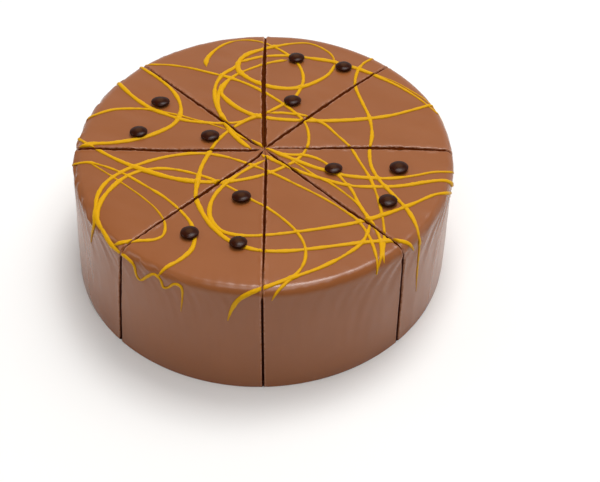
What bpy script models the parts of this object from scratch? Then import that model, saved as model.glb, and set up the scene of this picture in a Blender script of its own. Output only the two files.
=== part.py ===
"""Egg liqueur cake, cut into eight slices that still stand together as one round cake.

A chocolate coat covers the top and the wall. Under it lie, from the foot up, a dark base, a pale
sponge, a thick cream and a brown sponge, each running through every slice. Every other slice
carries three dark chocolate pearls.

Metres, +Z up. The origin is the middle of the flat underside.
"""

import math

import bmesh
import bpy
from mathutils import Matrix, Vector

# The whole cake
RADIUS = 0.110  # outside of the coat's wall
HEIGHT = 0.080  # underside to the middle of the top
CROWN = 0.0013  # the top's rim lies this much lower than its middle
EDGE_RADIUS = 0.0055  # rounding between the top and the wall
LEAN = Vector((-0.0023, -0.0003, 0.0))  # the foot stands this far beside the top
GAP = 0.0003  # clearance between touching pieces

# The layers, as heights over the underside
BASE_TOP = 0.12 * HEIGHT
LOWER_SPONGE_TOP = 0.30 * HEIGHT
CREAM_TOP = 0.70 * HEIGHT
UPPER_SPONGE_TOP = 0.85 * HEIGHT
SKIN = 0.0025  # the coat's thickness outside the base
JACKET = 0.009  # the coat's thickness outside the sponges and the cream

# The cuts, clockwise from the back: angle at the rim, and how much more it is at the middle
CUTS = (
    (88.9, 1.3),
    (43.8, 5.4),
    (-2.0, 4.6),
    (-47.1, 2.4),
    (-91.5, 2.0),
    (-135.3, 2.3),
    (-182.8, 4.1),
    (-226.9, 0.7),
)
KERF = 0.0012  # width of a cut
CUT_CENTRE = Vector((0.0017, 0.0008, 0.0))  # where the cuts meet
CUT_SHARES = (0.15, 0.4, 0.7, 1.0, 1.3)  # of the radius: where a cut's line has a point
TURN_STEPS = 96  # flats round the cake
ARC_STEPS = 4  # flats over the rounded edge

# The pearls: flattened balls that have sunk a little into the coat
PEARL_WIDTH = 0.0102
PEARL_HALF_HEIGHT = 0.0024
PEARL_FOOT = math.radians(120)  # from the pearl's pole down to its flat foot
PEARL_RINGS = 5
PEARL_STEPS = 16
PEARLS = (  # distance and direction from the middle of the cuts
    (0.0840, 75.8),
    (0.0875, 55.9),
    (0.0443, 67.2),
    (0.0434, -25.9),
    (0.0785, -13.7),
    (0.0821, -33.7),
    (0.0427, -108.1),
    (0.0797, -121.6),
    (0.0775, -101.2),
    (0.0743, 145.5),
    (0.0746, 167.9),
    (0.0332, 161.0),
)


def linear(value):
    """One sRGB channel, 0 to 1, as linear light."""
    return value / 12.92 if value <= 0.04045 else ((value + 0.055) / 1.055) ** 2.4


def material(name, colour, roughness):
    """A Principled material of one sRGB colour written as six hex digits."""
    made = bpy.data.materials.new(name)
    made.use_nodes = True
    shader = made.node_tree.nodes["Principled BSDF"]
    channels = [linear(int(colour[i : i + 2], 16) / 255) for i in (0, 2, 4)]
    shader.inputs["Base Color"].default_value = (*channels, 1.0)
    shader.inputs["Roughness"].default_value = roughness
    shader.inputs["Metallic"].default_value = 0.0
    made.diffuse_color = (*channels, 1.0)
    return made


def evaluated_mesh(obj, name):
    """The object's shape after its modifiers or its bevel, as a closed mesh. The object goes."""
    depsgraph = bpy.context.evaluated_depsgraph_get()
    mesh = bpy.data.meshes.new_from_object(obj.evaluated_get(depsgraph))
    mesh.name = name
    bpy.data.objects.remove(obj)
    work = bmesh.new()
    work.from_mesh(mesh)
    bmesh.ops.remove_doubles(work, verts=work.verts, dist=0.00001)
    bmesh.ops.recalc_face_normals(work, faces=work.faces)
    work.to_mesh(mesh)
    work.free()
    return mesh


def turned_mesh(name, profile, steps):
    """Turns a profile of (radius, height) points, down its outer side, once round the Z axis."""
    mesh = bpy.data.meshes.new(name + "_profile")
    edges = [(i, i + 1) for i in range(len(profile) - 1)]
    mesh.from_pydata([(radius, 0.0, height) for radius, height in profile], edges, [])
    obj = bpy.data.objects.new(name + "_profile", mesh)
    bpy.context.scene.collection.objects.link(obj)
    screw = obj.modifiers.new("turn", "SCREW")
    screw.axis = "Z"
    screw.steps = steps
    screw.render_steps = steps
    screw.use_merge_vertices = True
    screw.merge_threshold = 0.00001
    return evaluated_mesh(obj, name)


def lean(mesh):
    """Slants a mesh so that its foot stands beside its top, half of LEAN either way."""
    slant = Matrix.Identity(4)
    slant[0][2] = -LEAN.x / HEIGHT
    slant[1][2] = -LEAN.y / HEIGHT
    mesh.transform(Matrix.Translation(LEAN / 2) @ slant)


def top_height(radius):
    """Height of the coat's top at a distance from the cake's middle."""
    return HEIGHT - CROWN * (radius / RADIUS) ** 2


def coat_profile():
    """The coat's section: over the crown and the rounded edge, down the wall, and back inside."""
    flat_end = RADIUS - EDGE_RADIUS
    points = [(flat_end * share, top_height(flat_end * share)) for share in (0.0, 0.5)]
    for step in range(ARC_STEPS + 1):
        angle = math.radians(90 - 90 * step / ARC_STEPS)
        reach = EDGE_RADIUS * math.cos(angle)
        drop = EDGE_RADIUS * (1 - math.sin(angle))
        points.append((flat_end + reach, top_height(flat_end) - drop))
    points += [
        (RADIUS, 0.0),
        (RADIUS - SKIN, 0.0),
        (RADIUS - SKIN, BASE_TOP + GAP),
        (RADIUS - JACKET, BASE_TOP + GAP),
        (RADIUS - JACKET, UPPER_SPONGE_TOP),
        (0.0, UPPER_SPONGE_TOP),
    ]
    return points


def layer_profile(radius, low, high):
    """A layer's section: a plain disc, clear of its neighbours."""
    return [(0.0, high), (radius, high), (radius, low), (0.0, low)]


def cut_point(cut, distance, side):
    """A point on a cut's line. Side +1 is its anticlockwise wall, -1 its clockwise wall."""
    rim_angle, bow = CUTS[cut % len(CUTS)]
    share = max(0.0, 1.0 - distance / RADIUS)
    angle = math.radians(rim_angle + bow * share)
    along = Vector((math.cos(angle), math.sin(angle), 0.0))
    across = Vector((-math.sin(angle), math.cos(angle), 0.0))
    return CUT_CENTRE + along * distance + across * side * KERF / 2


def slice_outline(number):
    """The plan of one slice: its tip, out along one cut, round past the rim, and back."""
    first = math.radians(sum(CUTS[number]))
    second = math.radians(sum(CUTS[(number + 1) % len(CUTS)]))
    half = ((first - second) % math.tau) / 2
    middle = first - half
    tip = KERF / 2 / math.sin(half)
    points = [CUT_CENTRE + Vector((math.cos(middle), math.sin(middle), 0.0)) * tip]
    reaches = [share * RADIUS for share in CUT_SHARES]
    points += [cut_point(number + 1, reach, 1) for reach in reaches]
    far = CUT_SHARES[-1] * RADIUS / math.cos(half / 2)
    for share in (0.5, 1.5):
        angle = middle - half + half * share
        points.append(CUT_CENTRE + Vector((math.cos(angle), math.sin(angle), 0.0)) * far)
    points += [cut_point(number, reach, -1) for reach in reversed(reaches)]
    return points


def slice_cutter(number, collection):
    """An upright prism over a slice's plan, taller than the cake."""
    curve = bpy.data.curves.new(f"cutter_{number + 1}", "CURVE")
    curve.dimensions = "2D"
    curve.fill_mode = "BOTH"
    curve.extrude = HEIGHT
    outline = slice_outline(number)
    spline = curve.splines.new("POLY")
    spline.points.add(len(outline) - 1)
    for point, place in zip(spline.points, outline):
        point.co = (*place, 1.0)
    spline.use_cyclic_u = True
    obj = bpy.data.objects.new(curve.name, curve)
    bpy.context.scene.collection.objects.link(obj)
    bpy.context.view_layer.update()
    mesh = evaluated_mesh(obj, f"slice_cutter_{number + 1}")
    cutter = bpy.data.objects.new(mesh.name, mesh)
    cutter.location.z = HEIGHT / 2
    cutter.hide_render = True
    cutter.display_type = "WIRE"
    collection.objects.link(cutter)
    return cutter


def shade(mesh):
    """Smooth shading with sharp corners kept."""
    mesh.shade_smooth()
    mesh.set_sharp_from_angle(angle=math.radians(40))


def build_slices(collection, cutters):
    """Each layer turned once, then cut into eight slices."""
    wall = RADIUS - JACKET - GAP
    layers = (
        ("base", layer_profile(RADIUS - SKIN - GAP, 0.0, BASE_TOP), "7a4636", 0.6),
        ("lower_sponge", layer_profile(wall, BASE_TOP + GAP, LOWER_SPONGE_TOP), "c09468", 0.8),
        ("cream", layer_profile(wall, LOWER_SPONGE_TOP + GAP, CREAM_TOP), "e6cdb0", 0.5),
        ("upper_sponge", layer_profile(wall, CREAM_TOP + GAP, UPPER_SPONGE_TOP - GAP), "9a6238", 0.8),
        ("coat", coat_profile(), "9f633e", 0.4),
    )
    for name, profile, colour, roughness in layers:
        mesh = turned_mesh(name, profile, TURN_STEPS)
        lean(mesh)
        shade(mesh)
        mesh.materials.append(material(name, colour, roughness))
        for number, cutter in enumerate(cutters):
            piece = bpy.data.objects.new(f"slice_{number + 1}_{name}", mesh)
            collection.objects.link(piece)
            cut = piece.modifiers.new("slice", "BOOLEAN")
            cut.operation = "INTERSECT"
            cut.solver = "EXACT"
            cut.object = cutter


def build_pearls(collection):
    """Flattened balls with a flat foot, standing on the coat's top."""
    rise = -PEARL_HALF_HEIGHT * math.cos(PEARL_FOOT)
    profile = []
    for ring in range(PEARL_RINGS + 1):
        angle = PEARL_FOOT * ring / PEARL_RINGS
        across = PEARL_WIDTH / 2 * math.sin(angle)
        profile.append((across, rise + PEARL_HALF_HEIGHT * math.cos(angle)))
    profile.append((0.0, 0.0))
    mesh = turned_mesh("pearl", profile, PEARL_STEPS)
    shade(mesh)
    mesh.materials.append(material("pearl", "38211a", 0.35))
    top_centre = -LEAN / 2
    for number, (distance, direction) in enumerate(PEARLS):
        angle = math.radians(direction)
        place = CUT_CENTRE + Vector((math.cos(angle), math.sin(angle), 0.0)) * distance
        place.z = top_height((place - top_centre).length) + GAP
        pearl = bpy.data.objects.new(f"pearl_{number + 1}", mesh)
        pearl.location = place
        collection.objects.link(pearl)


def main():
    for obj in list(bpy.data.objects):
        bpy.data.objects.remove(obj)
    cake = bpy.data.collections.new("egg_liqueur_cake")
    cutting = bpy.data.collections.new("cutters")
    bpy.context.scene.collection.children.link(cake)
    bpy.context.scene.collection.children.link(cutting)
    cutters = [slice_cutter(number, cutting) for number in range(len(CUTS))]
    build_slices(cake, cutters)
    build_pearls(cake)


main()
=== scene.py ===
"""Egg liqueur cake: the looks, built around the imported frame.

A round cake under a satin milk chocolate glaze, cut into eight slices that still stand together.
Threads of egg liqueur run over the top and down the wall, and every other slice carries three dark
chocolate pearls. The layers inside show in the cuts.

Metres, +Z up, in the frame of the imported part. Slices are numbered clockwise from the back.
"""

import math

import bpy
import numpy as np
from mathutils import Euler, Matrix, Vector


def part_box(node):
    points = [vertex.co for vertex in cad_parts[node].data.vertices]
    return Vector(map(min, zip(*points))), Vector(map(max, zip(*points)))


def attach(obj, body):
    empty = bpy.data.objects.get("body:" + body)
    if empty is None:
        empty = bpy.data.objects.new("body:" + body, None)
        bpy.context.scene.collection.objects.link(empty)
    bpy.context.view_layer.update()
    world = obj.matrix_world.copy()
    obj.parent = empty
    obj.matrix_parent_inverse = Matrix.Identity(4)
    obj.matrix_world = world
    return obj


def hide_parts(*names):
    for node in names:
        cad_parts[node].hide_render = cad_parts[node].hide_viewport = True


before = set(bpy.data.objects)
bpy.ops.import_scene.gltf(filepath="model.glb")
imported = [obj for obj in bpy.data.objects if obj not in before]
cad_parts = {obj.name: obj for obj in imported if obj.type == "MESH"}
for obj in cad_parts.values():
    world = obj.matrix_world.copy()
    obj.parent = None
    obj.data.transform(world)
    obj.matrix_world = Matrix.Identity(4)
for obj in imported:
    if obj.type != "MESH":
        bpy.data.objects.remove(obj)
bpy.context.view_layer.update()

# ------------------------------------------------------------------------------- measures

MM = 1000  # millimetres in a metre
WAVE_SPREAD = (0.6, 1.6)  # least and greatest length of the sines in waves, against the given length

# The cake's plan, as in the part
RADIUS = 0.110  # outside of the coat's wall
CROWN = 0.0013  # the top's rim lies this much lower than its middle
EDGE = 0.0055  # rounding between the top and the wall
LEAN = np.array([-0.0023, -0.0003])  # the foot stands this far beside the top
CENTRE = np.array([0.0017, 0.0008])  # where the cuts meet
SKIN = 0.0025  # the coat's thickness outside the base
JACKET = 0.009  # the coat's thickness outside the sponges and the cream
GAP = 0.0003  # clearance between touching pieces
CUTS = (  # clockwise from the back: angle at the rim, and how much more it is at the middle
    (88.9, 1.3),
    (43.8, 5.4),
    (-2.0, 4.6),
    (-47.1, 2.4),
    (-91.5, 2.0),
    (-135.3, 2.3),
    (-182.8, 4.1),
    (-226.9, 0.7),
)
SLICES = len(CUTS)

# Heights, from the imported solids
HEIGHT = float(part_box("slice_1_coat")[1][2])
BASE_TOP = float(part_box("slice_1_base")[1][2])
LOWER_SPONGE_TOP = float(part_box("slice_1_lower_sponge")[1][2])
CREAM_TOP = float(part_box("slice_1_cream")[1][2])
UPPER_SPONGE_TOP = float(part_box("slice_1_upper_sponge")[1][2])

# The knife's marks
KERF_REACHES = (0.015, 0.045, 0.075, 0.095)
KERFS = (  # clockwise from the back: widths at these distances from where the cuts meet
    (0.0027, 0.0026, 0.0025, 0.0015),
    (0.0020, 0.0021, 0.0019, 0.0015),
    (0.0012, 0.0021, 0.0026, 0.0019),
    (0.0016, 0.0014, 0.0014, 0.0012),
    (0.0016, 0.0016, 0.0014, 0.0011),
    (0.0016, 0.0020, 0.0016, 0.0013),
    (0.0021, 0.0022, 0.0022, 0.0019),
    (0.0015, 0.0019, 0.0015, 0.0013),
)
WALL_KERFS = (0.0013, 0.0013, 0.0016, 0.0024, 0.0013, 0.0027, 0.0014, 0.0013)  # and in the wall
KERF_WAVES = ((0.10, 0.011, 20), (0.06, 0.0035, 70))  # of a cut's width: share, length and seed
LINE_TERMS = 5  # sines in the waves along a line
# Distances from where the cuts meet to where each cut is open
OPEN_REACHES = (0.003, 0.004, 0.009, 0.007, 0.014, 0.004, 0.006, 0.009)
WANDER_REACHES = (0.0, 0.008, 0.028, 0.060, 0.092, 0.108)
WANDERS = (  # how far a cut strays anticlockwise from its even bow at these distances
    (0.0, 0.0001, -0.0001, 0.0003, 0.0, 0.0),
    (0.0, -0.0001, -0.0010, -0.0004, 0.0006, 0.0009),
    (0.0, 0.0003, -0.0009, 0.0, 0.0006, 0.0009),
    (0.0, -0.0006, -0.0014, -0.0018, -0.0006, 0.0003),
    (0.0, 0.0008, 0.0002, -0.0002, 0.0, 0.0002),
    (0.0, 0.0016, 0.0005, -0.0002, -0.0012, -0.0010),
    (0.0, 0.0006, 0.0001, -0.0003, -0.0003, -0.0006),
    (0.0, 0.0008, 0.0, -0.0003, -0.0008, -0.0010),
)
LEAST_REACH = 0.001  # nearer to where the cuts meet, the strays count as they do here
OPENING = 0.3  # share of the distance to where a cut is open: there it starts to open
CLOSED_KERF = 0.0001  # a cut's width where it has closed up again: in the middle and below the glaze
CLOSED_DEPTH = (0.0001, 0.0018)  # between these depths under the glaze it closes
FULL_KERF = 0.0020  # narrower cuts close sooner, by the square of their width
SOONEST = 0.3  # but not before this share of these depths
RIM_CLOSING = 0.45  # share of these depths towards the rim
RIM_REACHES = (0.090, 0.106)  # the rim begins between these distances
RIM_DEPTHS = (0.010, 0.004)  # and ends between these depths under the top
WALL_CLOSED_DEPTH = 2.0  # times as deep in the wall
WALL_DEPTHS = (0.003, 0.012)  # which begins between these depths under the top
WALL_HEIGHTS = (0.002, 0.012)  # and ends between these heights
BEND_DEPTHS = (0.003, 0.010)  # between these depths under the top the cuts turn into the wall's
# Radians by which each cut turns from its top to its foot
SLANTS = (0.0, 0.0, 0.0, 0.005, -0.004, -0.058, 0.0, 0.0)
LIP_RADIUS = 0.0005  # the glaze is rounded over at a cut
LIP_WAVES = ((0.6, 0.004, 32),)  # of that radius: share, length and seed
LIP_LIMITS = (0.4, 2.0)  # shares of that radius
BURR = 0.00016  # the glaze stands up a little beside a cut
BURR_MIDDLE = 0.0007  # this far from it
BURR_REACH = 0.0010
BURR_WAVES = ((0.6, 0.006, 30), (0.5, 0.0025, 31))
WALL_CALM = 0.75  # share of the lips' raggedness that the wall doesn't have
MIDDLE_LIPS = 0.2  # share of the lips where the cuts meet
MIDDLE_REACHES = (0.001, 0.006)  # between these distances they grow to their full size
# How much lower the outer end of each slice has settled
OUTER_DROPS = (0.0, 0.0001, -0.0001, -0.0008, 0.0, -0.0002, 0.0001, -0.0001)

# The torn faces of the cuts: length and depth of their unevenness, and where under the glaze it begins
CREAM_TEAR = (0.003, 0.0003)
CRUMB_TEAR = (0.0028, 0.0004)
TEAR_DEPTHS = (0.0008, 0.003)
TEAR_TERMS = 24  # sines in its waves
TEAR_SEED = 40
TEAR_EDGE = 1.5  # how sharply it goes from proud to set back

# The glaze. Waves are given by their height, their length and a random seed
BROAD_WAVES = ((0.00016, 0.045, 11), (0.00005, 0.014, 12))
RIM_WAVES = ((0.00008, 0.024, 13), (0.00005, 0.008, 14))
RIM_WIDTH = 0.009  # over this distance from the rim they die away
RIM_DEPTH = 0.011  # and over this depth
RUNS = ((0.00018, 0.010, 15), (0.00008, 0.004, 16))
RUNS_START = (0.002, 0.012)  # the runs begin between these depths under the top
RUNS_FADE = 0.040  # and die away over this depth
RUN_STRETCH = 6  # times as long down the wall as across
RUN_SLANT = 0.5  # radians by which the runs on the flanks lead towards the front as they go down
RUN_TURN_DEPTH = 0.015  # over this depth
LEFT_FOLDS = ((0.00035, 0.010, 17),)
LEFT_FOLDS_START = 0.003  # they have their full height at this depth below the rim
LEFT_FOLDS_FADE = 0.010  # and die away over this one
RIGHT_FOLDS = 0.00036
RIGHT_FOLDS_START = 0.007
RIGHT_FOLDS_FADE = 0.034
RIGHT_SWELLS = ((0.6, 0.011, 18),)  # shares of that height
RIGHT_CRESTS = ((0.7, 0.012, 19),)
SCALLOP_LENGTH = 0.014  # of the lobes on the left, along the rim
SCALLOP_WAVES = ((0.25, 2.3, 90),)  # of their spacing: share, length in lobes and seed
SCALLOP_DEPTH = 0.0058  # how far they go down
SCALLOP_START = 0.12  # share of that depth at which they begin
SCALLOP_RISE = 0.0011
SCALLOP_EDGE = 0.0005  # half of the depth over which a lobe stops short
SCALLOP_IN = (0.0, 0.15)  # shares of a lobe's length between which it rises
SCALLOP_OUT = (1.0, 0.6)  # and dies away
KNOT = (0.0018, -0.0006)  # place of a small bump of glaze beside where the cuts meet
KNOT_RISE = 0.0004
KNOT_REACH = 0.0012
ROLL_REACH = 0.014  # the glaze starts to fall away this far inside the rim
ROLL_LEAST = 0.0002
ROLL_MOST = 0.0015
ROLL_SIDE = math.radians(200)  # where it falls away most
ROLL_FADE = 0.016  # depth over which that dies away down the wall
NORMAL_STEP = 0.00001  # distance over which the smooth coat's slope is measured
GLAZE_STEP = 0.0001  # and the uneven glaze's

# The pearls
PEARL_ROWS = 28
PEARL_COLUMNS = 48
PEARL_LOW = 0.0005  # lower than the solid
PEARL_HALF_HEIGHT = 0.00145
PEARL_WAVES = ((0.018, 1.6, 60), (0.004, 0.5, 80))  # shares of its size, lengths in half widths, seeds
CROWN_PAINTED_LIGHT = (0.87, 1.0)  # shares of the half height between which a pearl is painted paler: painted light on its crown
PEARL_WIDTHS = (  # from left to right and from front to back
    (0.0098, 0.0087),
    (0.0099, 0.0090),
    (0.0103, 0.0089),
    (0.0103, 0.0086),
    (0.0109, 0.0101),
    (0.0105, 0.0100),
    (0.0109, 0.0094),
    (0.0103, 0.0098),
    (0.0099, 0.0091),
    (0.0110, 0.0087),
    (0.0105, 0.0091),
    (0.0109, 0.0093),
)


def smooth(low, high, value):
    """0 below low, 1 above high, and a smooth step between them."""
    share = np.clip((value - low) / (high - low), 0.0, 1.0)
    return share * share * (3 - 2 * share)


def unit(vectors):
    """Vectors of length 1 in the same directions."""
    return vectors / np.linalg.norm(vectors, axis=-1, keepdims=True)


def waves(points, size, seed, terms=9):
    """Smooth unevenness, mostly within -1 and 1.

    It is the sum of sines along random directions, each about size long, over the root of their number.
    """
    draw = np.random.default_rng(seed)
    directions = unit(draw.normal(size=(terms, points.shape[-1])))
    lengths = size * draw.uniform(*WAVE_SPREAD, terms)
    phases = draw.uniform(0, math.tau, terms)
    turns = points @ (directions / lengths[:, None]).T * math.tau + phases
    return np.sin(turns).sum(-1) / math.sqrt(terms)


def layered(points, layers, more=0, terms=9):
    """Waves on top of one another, each of a height, a length and a seed, to which more is added."""
    return sum(height * waves(points, length, seed + more, terms) for height, length, seed in layers)


def bell(value, reach):
    """1 at 0, dying away on either side over a reach, as the bell curve."""
    return np.exp(-((value / reach) ** 2))


# ------------------------------------------------------------------------- the coat's surface


def axis_at(height):
    """Plan position of the leaning cake's middle at a height."""
    return -LEAN * (height / HEIGHT - 0.5)[..., None]


def top_height(radius):
    """Height of the domed top at a distance from the cake's middle."""
    return HEIGHT - CROWN * (radius / RADIUS) ** 2


def coat_distance(points):
    """Distance outside the smooth coat: a leaning cylinder with a domed top and a rounded edge."""
    plan = points[..., :2] - axis_at(points[..., 2])
    radius = np.linalg.norm(plan, axis=-1)
    out = radius - (RADIUS - EDGE)
    over = points[..., 2] - (top_height(radius) - EDGE)
    corner = np.hypot(np.maximum(out, 0), np.maximum(over, 0))
    return corner + np.minimum(np.maximum(out, over), 0) - EDGE


def scallops(turn, below):
    """Where the glaze ran over the rim: slanting lobes, one behind the other, at a depth below the rim.

    Each goes down from the rim towards the front, thickest at its lower end, where it stops short.
    """
    along_rim = RADIUS * turn / SCALLOP_LENGTH
    along_rim = along_rim + layered(along_rim[..., None], SCALLOP_WAVES, terms=LINE_TERMS)
    phase = along_rim % 1.0
    line = SCALLOP_DEPTH * (SCALLOP_START + phase)
    fade = smooth(*SCALLOP_IN, phase) * smooth(*SCALLOP_OUT, phase)
    above = smooth(SCALLOP_EDGE, -SCALLOP_EDGE, below - line) * np.clip(below / line, 0, 1) ** 1.5
    return fade * SCALLOP_RISE * above


def flank_folds(turn, below, around):
    """Folds of glaze on the left flank and on the right one, at a depth below the rim.

    On the left they are lobes with waves over them. On the right another wave's size is taken from
    the waves, so that a sharp crest stands where that wave is nought.
    """
    left = np.maximum(0, -np.cos(turn)) ** 3
    right = np.maximum(0, np.cos(turn)) ** 3
    left_fade = smooth(0, LEFT_FOLDS_START, below) * bell(below, LEFT_FOLDS_FADE)
    right_fade = smooth(0, RIGHT_FOLDS_START, below) * bell(below, RIGHT_FOLDS_FADE)
    crests = layered(around, RIGHT_SWELLS) - np.abs(layered(around, RIGHT_CRESTS))
    folds = left * left_fade * layered(around, LEFT_FOLDS) + np.sqrt(left) * scallops(turn, below)
    return folds + right * right_fade * RIGHT_FOLDS * crests


def unevenness(points):
    """How far the glaze stands out of the smooth coat.

    Broad and small waves everywhere, a wavy rim, runs down the wall, folds on the flanks, a small bump
    in the middle, and the soft fall towards the rim.
    """
    plan = points[..., :2] - axis_at(points[..., 2])
    radius = np.linalg.norm(plan, axis=-1)
    turn = np.arctan2(plan[..., 1], plan[..., 0])
    depth = np.maximum(0, HEIGHT - points[..., 2])
    below = np.maximum(0, depth - CROWN)
    slanted = turn + RUN_SLANT * np.cos(turn) * (1 - np.exp(-depth / RUN_TURN_DEPTH))
    along_wall = points[..., 2] / RUN_STRETCH
    around = np.stack([RADIUS * np.cos(slanted), RADIUS * np.sin(slanted), along_wall], axis=-1)
    near_rim = bell(RADIUS - radius, RIM_WIDTH) * bell(depth, RIM_DEPTH)
    front = 1 - np.sin(turn)
    rim = front * near_rim * layered(around, RIM_WAVES)
    on_wall = smooth(*RUNS_START, depth) * np.exp(-depth / RUNS_FADE)
    runs = (1 + np.cos(turn) ** 4) * on_wall * layered(around, RUNS)
    knot = KNOT_RISE * bell(np.linalg.norm(points[..., :2] - CENTRE - KNOT, axis=-1), KNOT_REACH)
    side = np.maximum(0, np.cos(turn - ROLL_SIDE)) ** 2
    roll = ROLL_LEAST + (ROLL_MOST - ROLL_LEAST) * side
    fall = np.clip(1 - (RADIUS - radius) / ROLL_REACH, 0, 1) ** 2 * np.exp(-depth / ROLL_FADE)
    folds = flank_folds(turn, below, around)
    return layered(points, BROAD_WAVES) + rim + runs + folds + knot - roll * fall


def reach_of(points):
    """Distance of points in plan from where the cuts meet."""
    return np.linalg.norm(points[..., :2] - CENTRE, axis=-1)


def drop(points, number):
    """How much higher a slice's glaze lies than the whole cake's would: its outer end has settled."""
    return OUTER_DROPS[number] * (reach_of(points) / RADIUS) ** 2 * points[..., 2] / HEIGHT


def outside(points, number):
    """Distance outside the uneven glaze of one slice, which is thought to go on beyond its cuts."""
    lifted = points.copy()
    lifted[..., 2] -= drop(points, number)
    return coat_distance(lifted) - unevenness(lifted)


def gradient(distance, points, step):
    """The outward directions at points near a surface: the slope of the distance to it."""
    slopes = []
    for axis in range(3):
        shift = np.zeros(3)
        shift[axis] = step
        slopes.append(distance(points + shift) - distance(points - shift))
    return unit(np.stack(slopes, axis=-1))


# -------------------------------------------------------------------------------- the cuts


def cut_angle(cut, reach, height=HEIGHT):
    """Direction of a cut's line at a distance from where the cuts meet and at a height."""
    rim, bow = CUTS[cut % SLICES]
    whole_turns = cut // SLICES
    turned = SLANTS[cut % SLICES] * (1 - height / HEIGHT)
    stray = np.interp(reach, WANDER_REACHES, WANDERS[cut % SLICES])
    turned = turned + stray / np.maximum(reach, LEAST_REACH)
    return np.radians(rim - 360 * whole_turns + bow * np.maximum(0, 1 - reach / RADIUS)) + turned


def kerf(cut, reach, height=HEIGHT, depth=0.0):
    """Width of a cut: uneven, and nearly closed in the middle of the cake and deep under the glaze.

    It is the closed width plus the open share of the rest, times one plus the waves of that share.
    """
    cut %= SLICES
    end = smooth(*RIM_REACHES, reach) * smooth(*RIM_DEPTHS, HEIGHT - height)
    full = np.interp(reach, KERF_REACHES, KERFS[cut])
    narrow = np.clip((full / FULL_KERF) ** 2, SOONEST, 1.0)
    depth = depth / (1 + (RIM_CLOSING - 1) * end) / narrow
    opened = smooth(OPENING * OPEN_REACHES[cut], OPEN_REACHES[cut], reach)
    opened = opened * (1 - smooth(*CLOSED_DEPTH, depth))
    full = full + (WALL_KERFS[cut] - full) * smooth(*BEND_DEPTHS, HEIGHT - height)
    rough = layered(reach[..., None], KERF_WAVES, cut, LINE_TERMS)
    return (CLOSED_KERF + (full - CLOSED_KERF) * opened) * (1 + opened * rough)


def beside(points, cut):
    """How far points lie on the anticlockwise side of a cut's line, and the unit vector that way."""
    reach = reach_of(points)
    angle = cut_angle(cut, reach, points[..., 2])
    way = np.stack([-np.sin(angle), np.cos(angle)], axis=-1)
    return ((points[..., :2] - CENTRE) * way).sum(-1), way, reach


def room(points, number):
    """How far points lie inside one slice's nearer cut wall. It is negative outside the slice."""
    first, _, reach = beside(points, number)
    second, _, _ = beside(points, number + 1)
    height = points[..., 2]
    first_room = -first - kerf(number, reach, height) / 2
    second_room = second - kerf(number + 1, reach, height) / 2
    return np.minimum(first_room, second_room)


def push_inside(points, number):
    """Moves points that lie beyond a slice's cut walls back onto them."""
    for cut, side in ((number, 1), (number + 1, -1)):
        offset, way, reach = beside(points, cut)
        over = np.maximum(0, side * offset + kerf(cut, reach, points[..., 2]) / 2)
        points = points.copy()
        points[..., :2] -= (side * over)[..., None] * way
    return points


def lip(distance, points):
    """The glaze's rise at a distance from a cut: rounded over at the wall, with a burr beside it.

    Both are ragged on the top and nearly even down the cake's wall.
    """
    opened = MIDDLE_LIPS + (1 - MIDDLE_LIPS) * smooth(*MIDDLE_REACHES, reach_of(points))
    calm = 1 - WALL_CALM * smooth(*BEND_DEPTHS, HEIGHT - points[..., 2])
    radius = LIP_RADIUS * np.clip(1 + calm * layered(points, LIP_WAVES), *LIP_LIMITS)
    close = np.clip(1 - distance / radius, 0, 1)
    rounded = radius * (1 - np.sqrt(1 - close**2))
    burr = BURR * (1 + calm * layered(points, BURR_WAVES)) * bell(distance - BURR_MIDDLE, BURR_REACH)
    return opened * (burr - rounded)


def slice_at(points):
    """The number of the slice that each point lies in, or nearly."""
    plan = points[..., :2] - CENTRE
    reach = reach_of(points)
    angle = np.arctan2(plan[..., 1], plan[..., 0])
    numbers = np.zeros(angle.shape, int)
    for number in range(SLICES):
        first = cut_angle(number, reach, points[..., 2])
        width = first - cut_angle(number + 1, reach, points[..., 2])
        numbers[(first - angle) % math.tau < width] = number
    return numbers


# ------------------------------------------------------------------------------ making meshes

WELD_STEPS = 1e7  # per metre: points within one step are one
FITTING_ROUNDS = 3  # that find a distance and a direction which depend on one another
LEAST_WIDTH = 3  # times a row's fixed distances: where a slice is narrower, they shrink
TIP_REACHES = np.linspace(0.0001, 0.002, 400)  # where a slice's tip may be


def grid_quads(rows, columns, first=0, around=False):
    """Faces of a grid of points that is stored row by row. Around closes each row on itself."""
    across = columns if around else columns - 1
    row, column = np.meshgrid(np.arange(rows - 1), np.arange(across), indexing="ij")
    after = (column + 1) % columns
    this_row = row * columns
    next_row = this_row + columns
    corners = [this_row + column, this_row + after, next_row + after, next_row + column]
    return np.stack(corners, axis=-1).reshape(-1, 4) + first


def volume_sign(points, triangles):
    """The sign of the volume inside the triangles, which is negative where they point inwards."""
    a, b, c = (points[triangles[:, corner]] for corner in range(3))
    return np.sign((a * np.cross(b, c)).sum())


def new_object(name, data):
    """An object of a mesh, a light or a camera, in the scene."""
    made = bpy.data.objects.new(name, data)
    bpy.context.scene.collection.objects.link(made)
    return made


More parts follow.
